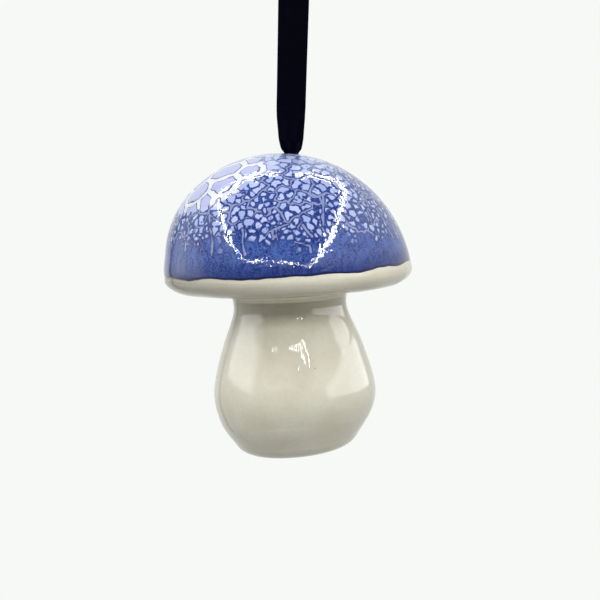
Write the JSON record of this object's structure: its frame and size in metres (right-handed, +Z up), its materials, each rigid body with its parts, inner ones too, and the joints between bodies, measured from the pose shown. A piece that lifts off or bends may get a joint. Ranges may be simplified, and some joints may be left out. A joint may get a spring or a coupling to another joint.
{
  "type": "mushroom bauble",
  "caption": "Hollow glazed ceramic mushroom ornament with a blue crawl-glazed cap and white bulb stem, hung from its crown on a doubled ribbon loop.",
  "frame": {"origin": "inside top of the ribbon loop, where a hook or twig holds the bauble", "axes": "+Z up along the hanging ribbon, +X to the right along the ribbon's width, -Y towards the viewer"},
  "size_m": [0.0519, 0.052, 0.1097],
  "materials": {
    "white_clay": "glossy clear glaze over white clay",
    "blue_glaze": "glossy blue crawl glaze with pale islands",
    "navy_satin": "satin ribbon, nearly black navy"
  },
  "bodies": {
    "loop": {"ribbon_loop": "navy_satin"},
    "gather": {"ribbon_gather": "navy_satin"},
    "knot": {"ribbon_shank": "navy_satin", "ribbon_knot": "navy_satin", "ribbon_tail_front": "navy_satin", "ribbon_tail_back": "navy_satin"},
    "mushroom": {"cap": "white_clay", "cap_glaze": "blue_glaze", "slip_joint": "white_clay", "stem": "white_clay"}
  },
  "joints": [
    {"name": "swing_front_back", "type": "hinge", "parent": "loop", "child": "gather", "pos_m": [0, 0, -0.0399], "axis": [1, 0, 0], "range_deg": [-60, 60]},
    {"name": "swing_sideways", "type": "hinge", "parent": "gather", "child": "knot", "pos_m": [0, 0, -0.04495], "axis": [0, 1, 0], "range_deg": [-40, 40]},
    {"name": "spin", "type": "hinge", "parent": "knot", "child": "mushroom", "pos_m": [0, 0, -0.04605], "axis": [0, 0, 1], "continuous": true}
  ]
}
